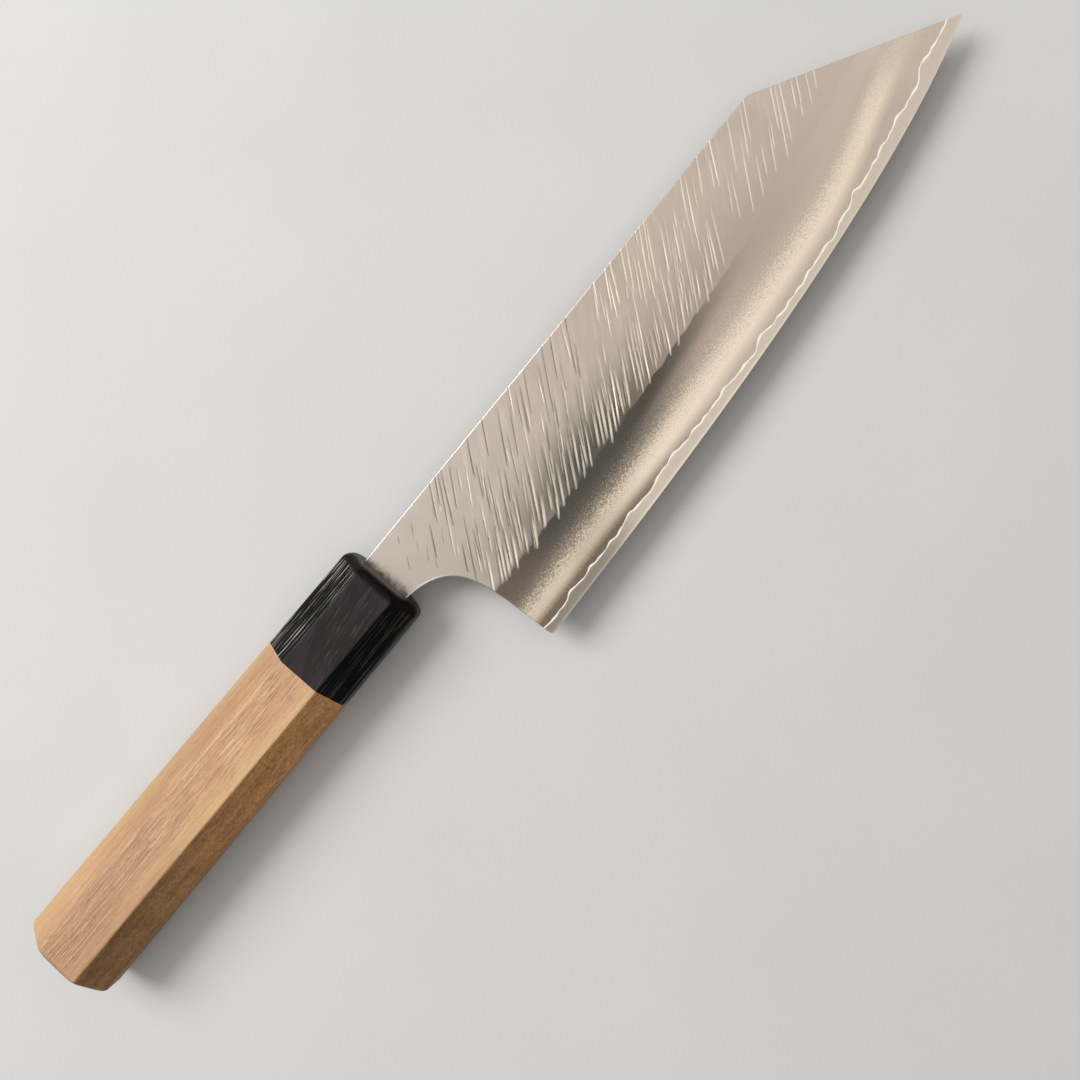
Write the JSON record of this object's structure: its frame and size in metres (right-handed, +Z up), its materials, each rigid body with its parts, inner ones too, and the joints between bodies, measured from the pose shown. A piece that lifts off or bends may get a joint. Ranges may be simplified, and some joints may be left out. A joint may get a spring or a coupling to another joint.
{
  "type": "bunka knife",
  "caption": "Kitchen knife with a tall laminated blade, hammered flats and a clipped angular tip, on a hidden tang in an octagonal wooden handle with a dark ferrule.",
  "frame": {"origin": "under the middle of the knife's box, at the height of the handle's lowest facet edge", "axes": "+X from the butt to the tip along the handle's axis, +Y from the edge towards the spine, +Z up out of the blade's right face"},
  "size_m": [0.3116, 0.0516, 0.021],
  "materials": {
    "core_steel": "fine ground edge steel",
    "bond_metal": "bright soft metal",
    "cladding_steel": "hammered flat above a blasted and ground bevel",
    "ferrule_wood": "black resin-filled wood, satin",
    "handle_wood": "light walnut, oiled matt",
    "dowel_wood": "plain hardwood",
    "bedding_resin": "cured resin"
  },
  "bodies": {
    "root": {"blade_core": "core_steel", "bond_layer_right": "bond_metal", "bond_layer_left": "bond_metal", "cladding_right": "cladding_steel", "cladding_left": "cladding_steel", "ferrule": "ferrule_wood", "handle_body": "handle_wood", "dowel": "dowel_wood", "tang_bedding": "bedding_resin"}
  },
  "joints": []
}
